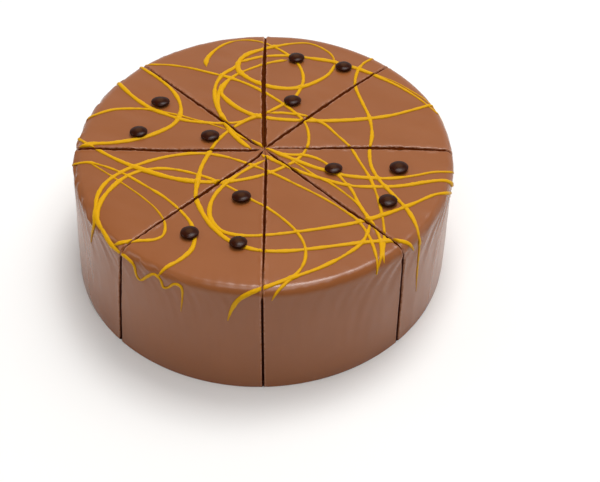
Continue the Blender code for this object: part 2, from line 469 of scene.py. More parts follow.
def make_piece(name, points, faces, finish, slot, values=None, sharp=50, inside=None):
    """A mesh piece from points and quads. Points that coincide are welded, and values become attributes.

    Quads that the welding leaves with three corners become triangles. Inside, if given, is the finish
    of the faces whose value of depth is over that of the glaze.
    """
    keys = np.round(points * WELD_STEPS).astype(np.int64)
    _, first, same = np.unique(keys, axis=0, return_index=True, return_inverse=True)
    faces = same.reshape(-1)[faces]
    points = points[first]
    halves = np.concatenate([faces[:, [0, 1, 2]], faces[:, [0, 2, 3]]])
    whole = (np.diff(np.sort(faces, axis=1), axis=1) > 0).all(axis=1)
    split = np.concatenate([~whole, ~whole])
    solid = (np.diff(np.sort(halves, axis=1), axis=1) > 0).all(axis=1)
    triangles = halves[split & solid]
    quads = faces[whole]
    if volume_sign(points, halves[solid]) < 0:
        quads = quads[:, ::-1]
        triangles = triangles[:, ::-1]
    mesh = bpy.data.meshes.new(name)
    mesh.from_pydata(points.tolist(), [], quads.tolist() + triangles.tolist())
    for key, value in (values or {}).items():
        attribute = mesh.attributes.new(key, "FLOAT", "POINT")
        attribute.data.foreach_set("value", value[first].astype(np.float32))
    mesh.shade_smooth()
    mesh.set_sharp_from_angle(angle=math.radians(sharp))
    mesh.materials.append(finish)
    if inside:
        mesh.materials.append(inside)
        depth = values["depth"][first]
        depths = np.concatenate([depth[quads].mean(axis=1), depth[triangles].mean(axis=1)])
        mesh.polygons.foreach_set("material_index", (depths > GLAZE_DEPTH).astype(np.int32))
    piece = new_object(name, mesh)
    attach(piece, "root")
    return piece


def block(place, counts):
    """The six sides of a block of grid points. place(i, j, k) gives a point and its values after it."""
    parts = []
    faces = []
    start = 0
    for axis in range(3):
        others = [a for a in range(3) if a != axis]
        u, v = np.meshgrid(*(np.arange(counts[a]) for a in others), indexing="ij")
        for far in (0, 1):
            numbers = [None, None, None]
            numbers[axis] = np.full_like(u, far * (counts[axis] - 1))
            numbers[others[0]] = u
            numbers[others[1]] = v
            found = place(*numbers)
            parts.append(found.reshape(-1, found.shape[-1]))
            side = grid_quads(*u.shape, start)
            if (far == 1) == (axis == 1):
                side = side[:, ::-1]
            faces.append(side)
            start += u.size
    return np.concatenate(parts), np.concatenate(faces)


class Columns:
    """Grid columns across a slice: fixed distances from both cut walls, and even steps between them."""

    def __init__(self, near, inner):
        near = np.array(near)
        count = len(near)
        self.near = near[-1]
        self.fixed = np.concatenate([near, np.full(inner, near[-1]), 2 * near[-1] - near[::-1]])
        self.even = np.concatenate([np.zeros(count), np.linspace(0, 1, inner + 2)[1:-1], np.ones(count)])
        self.count = len(self.even)

    def spread(self, number, reach, height, column, depth=0.0):
        """Angle of a column at a distance from where the cuts meet, and how far the nearer cut is."""
        first = cut_angle(number, reach, height) - half_kerf_angle(number, reach, height, depth)
        second = cut_angle(number + 1, reach, height) + half_kerf_angle(number + 1, reach, height, depth)
        width = np.maximum(0, first - second) * reach
        squeeze = np.minimum(1, width / (LEAST_WIDTH * self.near))
        across = squeeze * self.fixed[column] + self.even[column] * (width - 2 * squeeze * self.near)
        middle = (first + second) / 2
        angle = np.where(first > second, first - across / reach, middle)
        return angle, np.minimum(across, width - across)

    def fit(self, number, column, height, tip, share, radius, inset=0.0, beyond=0.0, depth=0.0):
        """Points at a share of the way from a slice's tip to a wall, and how far the nearer cut is.

        The wall is a leaning cylinder's, set in by inset. Each point then goes on outwards by beyond.
        """
        reach = np.full(share.shape, radius)
        for _ in range(FITTING_ROUNDS):
            angle, near = self.spread(number, reach, height, column, depth)
            reach = tip + share * (wall_reach(angle, height, radius) - inset - tip) + beyond
        return in_plan(reach, angle, height), near


def half_kerf_angle(cut, reach, height=HEIGHT, depth=0.0):
    """Half of a cut's width as an angle round the place where the cuts meet."""
    return np.arcsin(np.minimum(1, kerf(cut, reach, height, depth) / 2 / reach))


def tip_reach(number):
    """Distance of a slice's tip from where the cuts meet: where its two cut walls come together."""
    first = cut_angle(number, TIP_REACHES) - half_kerf_angle(number, TIP_REACHES)
    second = cut_angle(number + 1, TIP_REACHES) + half_kerf_angle(number + 1, TIP_REACHES)
    return TIP_REACHES[np.argmax(first > second)]


def wall_reach(angle, height, radius):
    """Distance from where the cuts meet to a leaning cylinder, along a direction at a height.

    It is where a straight line from inside a circle meets it.
    """
    way = np.stack([np.cos(angle), np.sin(angle)], axis=-1)
    start = CENTRE - axis_at(height)
    along = (start * way).sum(-1)
    return np.sqrt(radius**2 - (start**2).sum(-1) + along**2) - along


def in_plan(reach, angle, height):
    """Points at a distance and direction from where the cuts meet."""
    across = CENTRE[0] + reach * np.cos(angle)
    back = CENTRE[1] + reach * np.sin(angle)
    return np.stack([across, back, height], axis=-1)


def cut_face(points, number, column, last, tear, below=None):
    """Works a slice's two cut faces over. They are set back unevenly into the slice, as torn crumb.

    In the coat, below gives the depth under the glaze: there the faces first close the cut, and the
    glaze itself is cut clean. Only the first and the last column move.
    """
    length, amount = tear
    height = points[..., 2]
    torn = 1.0 if below is None else smooth(*TEAR_DEPTHS, below)
    in_wall = smooth(*WALL_DEPTHS, HEIGHT - height) * smooth(*WALL_HEIGHTS, height)
    slower = 1 + (WALL_CLOSED_DEPTH - 1) * in_wall
    for cut, edge, side in ((number, 0, 1), (number + 1, last, -1)):
        _, way, reach = beside(points, cut)
        closing = 0.0
        if below is not None:
            closing = (kerf(cut, reach, height) - kerf(cut, reach, height, below / slower)) / 2
        share = 0.5 + 0.5 * np.tanh(TEAR_EDGE * waves(points, length, TEAR_SEED + cut, TEAR_TERMS))
        back = torn * amount * share - closing
        points = points.copy()
        points[..., :2] -= (side * back * (column == edge))[..., None] * way
    return points


# ------------------------------------------------------------------------ coat, layers, pearls

TOP_ROWS = 76
BEND_END = 0.1  # of the way from the flat top down to the foot: where the rounded edge ends
FOLDS_END = 0.24  # where the folds under the rim end
LEDGE = (0.87, 0.895)  # where the coat gets thin beside the base
FOOT = (1.0, 0.97)  # between these the glaze's unevenness ends
INNER_SHARES = (0, *LEDGE, 1)  # of the same way: heights and insets of the coat's inside
INNER_HEIGHTS = (UPPER_SPONGE_TOP + GAP, BASE_TOP + GAP, BASE_TOP + GAP, 0)
INNER_INSETS = (JACKET, JACKET, SKIN, SKIN)
NO_SCUFF_OR_LIP_HIGHLIGHT = (0.008, 0.002)  # between these distances from where the cuts meet, the scuffs and the painted highlight beside the cuts end
DEPTHS = np.array([0, 0.02, 0.05, 0.09, 0.14, 0.24, 0.4, 0.6, 0.8, 1.0])
GLAZE_DEPTH = 0.15  # mm: deeper faces of the coat are the cream under the glaze
COAT_COLUMNS = Columns((0, 0.00008, 0.0002, 0.00035, 0.0006, 0.001, 0.0016, 0.0024), 80)
# Rows of points round the edge, over the folds, down the plain wall and beside the base
DOWN = np.concatenate(
    [
        np.linspace(0, BEND_END, 17)[1:],
        np.linspace(BEND_END, FOLDS_END, 21)[1:],
        np.linspace(FOLDS_END, LEDGE[0], 34)[1:],
        np.linspace(LEDGE[1], 1, 7),
    ]
)
TOP_SHARES = np.concatenate([np.linspace(0, 1, TOP_ROWS), np.ones(len(DOWN))])
DOWN_SHARES = np.concatenate([np.zeros(TOP_ROWS), DOWN])


def coat_place(number):
    """Grid points of one slice's coat, each followed by its depth and its distance from a cut, in mm.

    Rows run from the tip over the top and the edge to the foot, depths from the glaze inwards. The
    outer points are the smooth coat's, moved out along its slope, and the others lie on straight lines
    from them to the coat's plain inside.
    """
    tip = tip_reach(number)
    flat_end = top_height(RADIUS - EDGE)

    def place(column, row, depth):
        share = TOP_SHARES[row]
        down = DOWN_SHARES[row]
        bend = np.minimum(1, down / BEND_END) * math.pi / 2
        fall = np.maximum(0, (down - BEND_END) / (1 - BEND_END))
        height = (flat_end - EDGE * (1 - np.cos(bend))) * (1 - fall)
        beyond = EDGE * np.sin(bend)
        outer, near = COAT_COLUMNS.fit(number, column, height, tip, share, RADIUS, EDGE, beyond)
        radius = np.linalg.norm(outer[..., :2] - axis_at(height), axis=-1)
        outer[..., 2] = np.where(down > 0, height, top_height(radius))
        normal = gradient(coat_distance, outer, NORMAL_STEP)
        proud = (unevenness(outer) + lip(near, outer)) * smooth(*FOOT, down)
        outer = outer + normal * proud[..., None]
        outer[..., 2] += drop(outer, number)

        inner_height = np.interp(down, INNER_SHARES, INNER_HEIGHTS)
        inset = np.interp(down, INNER_SHARES, INNER_INSETS)
        inner, _ = COAT_COLUMNS.fit(number, column, inner_height, tip, share, RADIUS, inset)
        weight = DEPTHS[depth][..., None]
        points = outer * (1 - weight) + inner * weight
        below = np.linalg.norm(points - outer, axis=-1)
        points = cut_face(points, number, column, COAT_COLUMNS.count - 1, CREAM_TEAR, below)
        values = [below * MM, near * MM + smooth(*NO_SCUFF_OR_LIP_HIGHLIGHT, reach_of(points))]
        return np.concatenate([points, np.stack(values, axis=-1)], axis=-1)

    return place


def build_coats(finish, inside):
    """The glaze with the chocolate cream just under it: one closed piece for each slice."""
    counts = (COAT_COLUMNS.count, len(TOP_SHARES), len(DEPTHS))
    for number in range(SLICES):
        found, faces = block(coat_place(number), counts)
        values = {"depth": found[:, 3], "cut": found[:, 4]}
        name = f"glaze_{number + 1}"
        piece = make_piece(name, found[:, :3], faces, finish, "chocolate_coat", values, inside=inside)
        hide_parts(f"slice_{number + 1}_coat")


BORDER_WAVES = ((0.0006, 0.03, 0), (0.0003, 0.008, 1))  # of the borders between layers
SEEDS_PER_METRE = 1e5  # each border's random seed comes from its level
LAYER_COLUMNS = Columns((0, 0.0008, 0.002), 8)
LAYER_ROWS = 96


def layer_limit(level, points):
    """Height of the uneven border between two layers."""
    flat = np.concatenate([points[..., :2], np.zeros_like(points[..., :1])], axis=-1)
    return level + layered(flat, BORDER_WAVES, int(level * SEEDS_PER_METRE))


def layer_place(number, radius, low, high, depths):
    """Grid points of one layer of a slice.

    Rows run from the tip to the outer side, depths from the top down.
    """
    tip = tip_reach(number) + GAP

    def place(column, row, depth):
        share = row / (LAYER_ROWS - 1)
        weight = depth / (depths - 1)
        height = (high - GAP) * (1 - weight) + low * weight
        points, _ = LAYER_COLUMNS.fit(number, column, height, tip, share, radius, depth=JACKET)
        above = high if high == UPPER_SPONGE_TOP else layer_limit(high, points)
        below = low if low == 0 else layer_limit(low, points)
        points[..., 2] = (above - GAP) * (1 - weight) + below * weight
        return cut_face(points, number, column, LAYER_COLUMNS.count - 1, CRUMB_TEAR)

    return place


def build_layers(finishes):
    """The layers under the coat, each with the uneven borders that it shares with its neighbours."""
    wall = RADIUS - JACKET - GAP
    layers = (
        ("base", "dark_base", RADIUS - SKIN - GAP, 0.0, BASE_TOP, 10),
        ("lower_sponge", "pale_sponge", wall, BASE_TOP, LOWER_SPONGE_TOP, 13),
        ("cream", "cream", wall, LOWER_SPONGE_TOP, CREAM_TOP, 24),
        ("upper_sponge", "brown_sponge", wall, CREAM_TOP, UPPER_SPONGE_TOP, 12),
    )
    for name, slot, radius, low, high, depths in layers:
        counts = (LAYER_COLUMNS.count, LAYER_ROWS, depths)
        for number in range(SLICES):
            found, faces = block(layer_place(number, radius, low, high, depths), counts)
            piece = make_piece(f"{name}_{number + 1}", found, faces, finishes[slot], slot)
            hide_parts(f"slice_{number + 1}_{name}")


def build_pearls(finish):
    """Dark chocolate pearls: slightly uneven flattened balls that have sunk into the glaze.

    A ball of radius 1 is made uneven by waves and stretched to a pearl's half width, depth and height.
    """
    row, column = np.meshgrid(np.arange(PEARL_ROWS), np.arange(PEARL_COLUMNS + 1), indexing="ij")
    polar = math.pi * row / (PEARL_ROWS - 1)
    turn = math.tau * (column % PEARL_COLUMNS) / PEARL_COLUMNS
    ball = np.stack([np.sin(polar) * np.cos(turn), np.sin(polar) * np.sin(turn), np.cos(polar)], axis=-1)
    ball[0] = (0, 0, 1)
    ball[-1] = (0, 0, -1)
    faces = grid_quads(PEARL_ROWS, PEARL_COLUMNS + 1)
    # painted light: how far up its crown each point of a pearl is painted paler
    values = {"crown": smooth(*CROWN_PAINTED_LIGHT, ball[..., 2]).reshape(-1)}
    for number, (across, deep) in enumerate(PEARL_WIDTHS, 1):
        low, high = (np.array(corner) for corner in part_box(f"pearl_{number}"))
        half = np.array([across / 2, deep / 2, PEARL_HALF_HEIGHT])
        middle = (low + high) / 2
        middle[2] = high[2] - PEARL_LOW - half[2]
        bulge = 1 + layered(ball, PEARL_WAVES, number)
        points = (middle + ball * bulge[..., None] * half).reshape(-1, 3)
        piece = make_piece(f"chocolate_pearl_{number}", points, faces, finish, "chocolate_pearl", values)
        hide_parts(f"pearl_{number}")


# ------------------------------------------------------------------------------ the drizzle

PICTURE = (600, 482)  # pixels of the photograph
LENS = 97.02  # millimetres, on a sensor 36 wide
SENSOR = 36.0
CAMERA_PLACE = (0.0017, -0.6907, 0.7083)
CAMERA_TURN = (math.radians(44.48), math.radians(-0.12), math.radians(-1.59))

RAY_START = 0.72  # metres from the camera: where its rays to the glaze begin
RAY_END = 1.2  # and how far they go at most
RAY_SHARE = 0.8  # of the distance that is left: a ray's next step
RAY_STEPS = 70

ROUTE_STEP = 0.7  # pixels between the samples of a thread's route
CURVE_STEPS = 24  # between two of its points, before the samples are spaced evenly
EASING = 4  # samples on either side over which its line is averaged
THREAD_WIDTH = 0.00195
THREAD_RISE = 0.32  # of its width
THREAD_STEP = 0.0007
THREAD_NORMAL_STEP = 0.0002  # distance over which the slope of the glaze under it is measured
WIDTH_WAVES = ((0.10, 0.018, 0), (0.05, 0.005, 1))  # of its width: share, length and seed
WIDTH_SEED = 100
PULL = 0.06  # how much a step down an upright wall turns it downwards
DOWN_THE_WALL = 0.006  # a thread that ends lower than this under the top has run down the wall
END_REACH = 0.005  # a thread thins out this far before its end
RUN_REACH = 0.016  # the same where it has run down the wall
END_WIDTH = 0.35  # and to this share of its width
TIP_LENGTH = 0.0008  # over which it closes at its end
TIP_LEAST = 0.02  # of its section there
CROSSING_WIDTH = (0.22, 0.0013)  # where threads cross they spread: share and reach
CROSSING_LIFT = (0.00035, 0.0011)  # and the later one is lifted: height and reach
FAR = 1.0  # the distance to nothing
EDGE_REACH = 12  # samples of a thread's line over which its two edges may cross a cut
UPPER_RING = 0.1  # ring points higher than this share of the rise are lifted over an earlier thread
RING = np.array(  # a thread's section, in half widths and rises: an arch, and its foot in the glaze
    [(math.cos(math.radians(a)), math.sin(math.radians(a))) for a in np.linspace(0, 180, 9)]
    + [(-0.7, -0.3), (0.0, -0.4), (0.7, -0.3)]
)

# Each thread of liqueur: its width against the common one, in even steps from its start to its end, how
# far it runs on beyond its first and its last point, out of sight over the rim, in mm, and the pixels
# of the photograph that it passes
THREADS = {
    "back_left_hook": (
        (0.93, 1.15, 1.6, 1.45, 1.75), 14, 8,
        ((142, 68), (160, 79.8), (174, 92.5), (180, 103.3), (180.7, 112.7), (175.2, 122.9),
         (161, 131.3), (138, 139), (112, 143), (90, 144.5), (76.7, 149.8)),
    ),
    "left_rim_to_back": (
        (1.45, 1.4, 1.2, 1.05, 0.95), 18, 0,
        ((119.3, 84), (133.6, 97.2), (150.6, 108.4), (166, 114.6), (186, 120.6), (206, 122.8),
         (223, 123.4), (241, 122), (256, 116.6), (267, 113)),
    ),
    "left_arch": (
        (1.25, 1.05, 0.75, 0.5), 9, 0,
        ((91.5, 116.5), (100.2, 113.2), (113.6, 109.7), (130.5, 108.8), (147.6, 109.3), (165.3, 112.5),
         (180.5, 115.6), (193, 119.2), (204, 122.2), (217, 126.3), (229, 130.5)),
    ),
    "middle_ring": (
        (0.85, 0.85, 1.2, 1.1, 0.95, 1.1, 1.3, 1.65, 1.8, 1.15, 0.85), 12, 16,
        ((151.5, 64.6), (168, 65), (188, 67.7), (210, 72.9), (233, 78.9), (252.2, 86.3), (272.2, 97),
         (290.4, 109.2), (304.4, 122.2), (308.7, 135), (307.2, 147.3), (298, 159), (280, 168.8),
         (256, 177), (230, 181.4), (205, 182.2), (178, 179.4), (150.2, 172.3), (124, 162.9),
         (100.4, 151.5), (79.3, 139.3)),
    ),
    "long_serpent": (
        (1.7, 0.6, 0.95, 1.15, 1.1, 1.1, 1.5, 1.5, 1.4, 1.3, 1.25, 1.4, 1.75), 0, 0,
        ((206.5, 67), (206.1, 61.2), (211.3, 53.7), (222.7, 45.3), (238, 40.6), (256, 41),
         (272.5, 46.4), (285.6, 53.4), (295.8, 61.2), (301.8, 70.8), (303.3, 80.4), (299.9, 89.8),
         (293, 99.3), (282.5, 105), (265, 113.5), (245, 121.2), (229, 130.7), (216.8, 141.5),
         (209.4, 152.9), (201.6, 166.7), (197.5, 182), (195.8, 197), (200, 208.2), (206.6, 219.7),
         (217, 231.4), (229.2, 240.7), (245, 247.3), (262, 250.8), (285, 251.3), (310, 249.1),
         (340, 245.4), (372, 241.8), (398, 241.1), (407.6, 243.2), (412, 247.1), (413.8, 251)),
    ),
    "back_loop": (
        (0.78, 0.8, 1.65, 1.7, 1.6, 1.1), 0, 0,
        ((334.6, 64), (332, 55.6), (322.7, 48.7), (309, 43.6), (292, 43.8), (275, 46.8), (257.3, 51),
         (246, 55.3), (238.8, 61.9), (238.2, 69.8), (246.2, 77.1), (262, 84.6), (280, 88.3),
         (298, 87.9), (317.3, 81.3), (329.3, 73.6), (334.6, 64)),
    ),
    "beside_back_to_right_rim": (
        (0.55, 0.6), 0, 0,
        ((352, 66), (358.8, 68), (370, 72.3), (381.2, 76.7), (396.5, 82.8), (411.9, 91.5),
         (423.5, 98.6), (431.5, 106), (437, 113)),
    ),
    "back_to_right_rim": (
        (1.35, 1.08, 1.5, 1.2, 0.8, 0.6), 0, 14,
        ((239, 62.5), (249.6, 59.5), (262, 56.9), (284, 55.8), (300, 57), (316, 59.2), (330, 61.3),
         (345, 65.5), (358.8, 69.3), (377, 76.6), (399, 86.7), (418.6, 98.6), (431.5, 108.7),
         (440, 116.4)),
    ),
    "inner_hook_to_right_rim": (
        (1.2, 0.9, 1.7, 1.5, 1.32, 1.65, 1.25, 0.95), 0, 12,
        ((288, 60), (270.4, 62.7), (250.8, 68.7), (236.1, 75), (225.6, 83.1), (220.6, 91.6),
         (228, 101), (240.5, 109.6), (257, 116.3), (275, 119), (300, 120.6), (330, 121), (360, 119.5),
         (388, 116.2), (410, 110.8), (428, 105.8)),
    ),
    "loop_to_middle": (
        (1.4, 1.3, 1.55), 0, 0,
        ((238.6, 63.5), (234, 68), (223.4, 74.3), (216, 84.7), (214.7, 95.4), (217.2, 107),
         (223.4, 118.4), (230, 131), (240.2, 141.1), (251.5, 149.5)),
    ),
    "through_the_middle": (
        (1.2, 1.1, 1.0, 1.42, 1.45, 1.35, 0.95, 0.9), 0, 10,
        ((227.2, 82), (220, 89.8), (218, 99.5), (219.2, 110.9), (226, 125.2), (236.5, 134.8),
         (246, 139), (250, 140.4), (253.2, 141.6), (256.7, 142.9), (260.5, 144.9), (264, 147.2),
         (267, 148.4), (279.1, 153.8), (297.2, 161), (315, 167.6), (333, 172.3), (345, 175.6),
         (368, 178), (392, 178.5), (415.1, 175.7), (434.1, 172.2), (452, 172.2)),
    ),
    "middle_to_front_right": (
        (1.3, 1.0, 1.0, 1.1, 1.1), 0, 0,
        ((277, 154), (292, 155), (307, 155.8), (322.2, 161.1), (334, 170.3), (343.4, 180.6),
         (352, 190.5), (358.3, 203.2), (366.2, 215), (374, 226.8), (380, 239), (381.9, 251),
         (379, 265), (376.3, 275)),
    ),
    "middle_to_right_rim": (
        (1.4, 1.1, 1.2, 1.4, 1.3), 0, 12,
        ((266.2, 157.4), (273, 160.2), (281.4, 164.2), (300.2, 172), (325, 179.6), (350, 185.8),
         (378, 187), (402, 186), (425, 182.4), (440, 180.6), (447.8, 181.5), (452.8, 185)),
    ),
    "dab_beside_the_middle": (
        (1.2, 1.3, 1.0), 0, 0,
        ((259.8, 153.6), (263.4, 156.1), (268.6, 158.3), (274.5, 157.6)),
    ),
    "short_thin_thread": (
        (0.7, 0.8, 0.7), 0, 0,
        ((290.2, 159.6), (302.6, 167.2), (316, 176.4), (330.3, 183.3), (344.7, 193.3), (357.6, 204),
         (366.4, 216.7)),
    ),
    "outer_left_bow": (
        (1.05, 0.95, 0.76, 0.92, 0.95, 1.05, 1.22, 1.28, 1.4, 1.2), 0, 0,
        ((376.3, 275), (377.3, 263), (374.5, 250), (369.2, 236.7), (359.1, 222.2), (342.2, 209.5),
         (320.1, 196.4), (297.1, 185), (272.4, 173.2), (250, 164.6), (226.1, 157), (200, 153.6),
         (172, 156), (144.8, 162.6), (120.8, 172.6), (105.6, 183.1), (97.4, 196), (95.5, 210),
         (94.7, 222), (92.3, 233), (91, 243)),
    ),
    "inner_left_bow_and_drips": (
        (1.45, 1.0, 0.92, 0.95, 0.88, 1.08, 1.2, 1.6, 1.4, 0.95, 0.9, 0.82), 0, 0,
        ((271.5, 301), (278.2, 290.7), (289, 280.5), (299.9, 270.1), (305.2, 259), (304.8, 246),
         (297.4, 232.8), (283.8, 219.7), (267, 207.8), (250, 198.9), (234, 189.6), (215.7, 180.8),
         (192, 173.1), (168, 168.9), (145.1, 170), (126, 176.8), (110.3, 189.3), (100.4, 202.8),
         (96.7, 218.1), (104.8, 234), (112.5, 246), (125.9, 256.9), (133.7, 264.8), (136.6, 275.5),
         (140.6, 280.3), (148, 276), (153.6, 274), (160.4, 279.4), (163.5, 287.6), (168, 287.6),
         (174, 283.9), (181.2, 286.9), (182.2, 298), (180.7, 312)),
    ),
    "left_rim_to_front": (
        (1.1, 0.82, 0.98, 0.94, 1.38, 1.75), 12, 0,
        ((75.5, 164), (88, 162.5), (104.3, 166.3), (122.5, 173.3), (145, 185.6), (166, 198.5),
         (181.4, 211.8), (191, 223.6), (194.8, 236), (192, 248.8), (180.5, 259.5), (165.4, 268.2),
         (157.6, 276.6)),
    ),
    "thin_left_hook": (
        (0.65, 0.65, 0.6, 1.2, 1.3), 0, 0,
        ((90.2, 163.2), (106.1, 172.8), (124.4, 184.6), (142.5, 197.3), (157, 210.3), (164.8, 223.2),
         (163.3, 235.1), (155.3, 239.5), (136, 241), (120.1, 243), (112, 246)),
    ),
    "right_back_to_front": (
        (0.8, 1.1, 1.15, 1.15, 1.25, 1.4), 20, 0,
        ((372, 58.9), (363.1, 63.8), (356.8, 73.3), (355.2, 85.3), (361.9, 101.9), (369.5, 118.1),
         (372, 134), (369.5, 152), (371.4, 166.8), (380, 181), (393.5, 195.3), (408.4, 211.4),
         (416.9, 227.7), (419.4, 243)),
    ),
    "right_wall_tail": (
        (0.9, 0.75), 0, 0,
        ((418.5, 234), (419.4, 243), (418.3, 258), (416.8, 275), (416, 292)),
    ),
    "back_middle_to_front_right": (
        (1.05, 1.0, 0.95, 1.0, 0.9, 0.9), 0, 0,
        ((267, 113.3), (282, 113), (297, 114.6), (306.2, 116), (314, 120), (324.4, 124.2),
         (336.3, 134.5), (350, 147.2), (359.6, 161.8), (370.1, 178.6), (378.1, 199.1), (383.3, 222.1),
         (384.4, 240), (383.2, 255), (384.4, 264)),
    ),
    "right_rim_round_front_left": (
        (1.0, 1.18, 1.58, 1.3, 1.08, 1.15, 1.5, 1.18, 1.1), 12, 0,
        ((450.5, 193), (436, 194.5), (412, 204.4), (388.1, 213.4), (360.1, 221.9), (325, 228),
         (290, 232.8), (258, 235.7), (234, 234.8), (219, 229.4), (210.3, 218.3), (210, 206),
         (216.2, 193.5), (227.6, 182.4), (243, 171.7), (256.3, 164.4), (266.5, 160)),
    ),
    "front_sweep": (
        (1.0, 1.25, 1.25, 1.38, 1.55), 0, 0,
        ((370.4, 222.5), (367.6, 232.8), (360.9, 243.9), (343.1, 256.4), (320.2, 267.8),
         (296.8, 276.2), (271.9, 284.9), (250.1, 293.1), (238.2, 300), (231.5, 309.9), (227.5, 321)),
    ),
}


def build_camera():
    """The camera at the photograph's place, which stays there."""
    data = bpy.data.cameras.new("camera")
    data.lens = LENS
    data.sensor_width = SENSOR
    data.clip_start = 0.01
    camera = new_object("camera", data)
    camera.location = CAMERA_PLACE
    camera.rotation_euler = CAMERA_TURN
    bpy.context.scene.camera = camera


def camera_rays(pixels):
    """Directions from the camera through pixels of the photograph."""
    turn = np.array(Euler(CAMERA_TURN).to_matrix())
    focal = LENS / SENSOR * PICTURE[0]
    right = (pixels[:, 0] - PICTURE[0] / 2) / focal
    up = (PICTURE[1] / 2 - pixels[:, 1]) / focal
    return unit(np.stack([right, up, -np.ones(len(pixels))], axis=-1)) @ turn.T


def along(line):
    """Distances along a line from its first point."""
    return np.concatenate([[0], np.cumsum(np.linalg.norm(np.diff(line, axis=0), axis=1))])


def smooth_route(knots, step):
    """A centripetal Catmull-Rom curve through given points, taken in even steps.

    A route whose ends coincide is a closed ring. Between two points the curve blends straight lines
    through four neighbours, by times that grow with the root of the distance.
    """
    knots = np.array(knots, float)
    closed = np.allclose(knots[0], knots[-1])
    before = knots[-2] if closed else 2 * knots[0] - knots[1]
    after = knots[1] if closed else 2 * knots[-1] - knots[-2]
    knots = np.vstack([before, knots, after])
    parts = []
    for a, b, c, d in zip(knots, knots[1:], knots[2:], knots[3:]):
        lags = [math.sqrt(np.linalg.norm(q - p)) for p, q in ((a, b), (b, c), (c, d))]
        times = np.cumsum([0.0] + lags)
        t = np.linspace(times[1], times[2], CURVE_STEPS, endpoint=False)[:, None]

        def between(p, q, start, end):
            return ((end - t) * p + (t - start) * q) / (end - start)

        ab = between(a, b, times[0], times[1])
        bc = between(b, c, times[1], times[2])
        cd = between(c, d, times[2], times[3])
        abc = between(ab, bc, times[0], times[2])
        bcd = between(bc, cd, times[1], times[3])
        parts.append(between(abc, bcd, times[1], times[2]))
    curve = np.vstack(parts + [knots[-2:-1]])
    lengths = along(curve)
    even = np.linspace(0, lengths[-1], max(4, int(lengths[-1] / step)))
    return np.stack([np.interp(even, lengths, curve[:, axis]) for axis in range(2)], axis=-1)


def glaze_normal(points, number, step=GLAZE_STEP):
    """The outward directions of a slice's uneven glaze at points near it."""
    return gradient(lambda p: outside(p, number), points, step)


def settle_on(points, number, rounds=FITTING_ROUNDS):
    """Moves points that lie near the glaze of a slice onto it."""
    for _ in range(rounds):
        away = outside(points, number)
        points = points - away[:, None] * glaze_normal(points, number)
    return points


def onto_glaze(pixels, number):
    """Where the camera's rays through pixels meet the glaze of a slice.

    Each ray walks in by most of the distance that is left. A ray that misses gives the nearest point
    of the glaze.
    """
    rays = camera_rays(pixels)
    start = np.array(CAMERA_PLACE)
    gone = np.full(len(pixels), RAY_START)
    best = gone.copy()
    least = np.full(len(pixels), np.inf)
    for _ in range(RAY_STEPS):
        away = outside(start + rays * gone[:, None], number)
        closer = np.abs(away) < least
        best[closer] = gone[closer]
        least[closer] = np.abs(away)[closer]
        gone = np.minimum(gone + RAY_SHARE * away, RAY_END)
    return settle_on(start + rays * best[:, None], number)


def run_on(points, number, length):
    """Carries a thread on beyond its last point, over the rim and down the wall.

    It goes straight on over the glaze and is pulled down the more, the steeper the glaze is.
    """
    way = unit(points[-1] - points[-4])
    place = points[-1:]
    more = []
    for _ in range(int(length / THREAD_STEP)):
        normal = glaze_normal(place, number)[0]
        way = way + PULL * (1 - abs(normal[2])) * np.array([0, 0, -1.0])
        way = unit(way - normal * (way @ normal))
        place = settle_on(place + way * THREAD_STEP, number, 1)
        more.append(place[0])
    return np.vstack([points, *more])


def eased(points, width):
    """Points averaged with their neighbours along the line, by a bell of weights; the ends stay."""
    kernel = np.hanning(2 * width + 3)[1:-1]
    kernel /= kernel.sum()
    before = 2 * points[0] - points[width:0:-1]
    after = 2 * points[-1] - points[-2 : -width - 2 : -1]
    padded = np.vstack([before, points, after])
    return np.stack([np.convolve(padded[:, axis], kernel, mode="valid") for axis in range(3)], axis=-1)


def lay_thread(route, number, tails):
    """The middle line of a thread on the glaze of one slice, with its runs out of sight."""
    line = eased(onto_glaze(route, number), EASING)
    start, end = (length / MM for length in tails)
    line = run_on(line, number, end)
    line = run_on(line[::-1], number, start)[::-1]
    return settle_on(line, number, 2)


def nearest(points, others):
    """Distance from each point to the nearest of the others, of which every second one counts."""
    if len(others) == 0:
        return np.full(len(points), FAR)
    gaps = np.linalg.norm(points[:, None, :] - others[None, ::2, :], axis=-1)
    return gaps.min(axis=1)


def thread_size(line, factors, seed):
    """Width of a thread along its line: uneven, thin at its ends, and closed at the very end."""
    gone = along(line)
    left = gone[-1] - gone
    factor = np.interp(np.linspace(0, 1, len(line)), np.linspace(0, 1, len(factors)), factors)
    width = THREAD_WIDTH * factor * (1 + layered(gone[:, None], WIDTH_WAVES, seed))
    for distance, end in ((gone, line[0]), (left, line[-1])):
        reach = RUN_REACH if end[2] < HEIGHT - DOWN_THE_WALL else END_REACH
        width *= END_WIDTH + (1 - END_WIDTH) * smooth(0, reach, distance)
        width *= np.sqrt(np.clip(distance / TIP_LENGTH, TIP_LEAST, 1))
    return width


def edge_crossing(clear, at, step, reach):
    """Where one line of a bead leaves a slice, near the sample at which the bead's middle line leaves it.

    clear is the line's room along its length. step is -1 at the bead's start and 1 at its end. Within
    reach samples, the crossing that is farthest into the bead counts; without one, the line runs on as
    far as it may.
    """
    last = len(clear) - 1
    window = np.arange(at + step * reach, at - step * reach - step, -step)
    window = window[(window >= 0) & (window <= last)]
    beyond = np.flatnonzero(clear[window] <= 0)
    if len(beyond) == 0:
        return float(window[0])
    i = window[beyond[-1]]
    j = i - step
    if j < 0 or j > last or clear[j] <= 0:
        return float(i)
    return i - step * clear[i] / (clear[i] - clear[j])


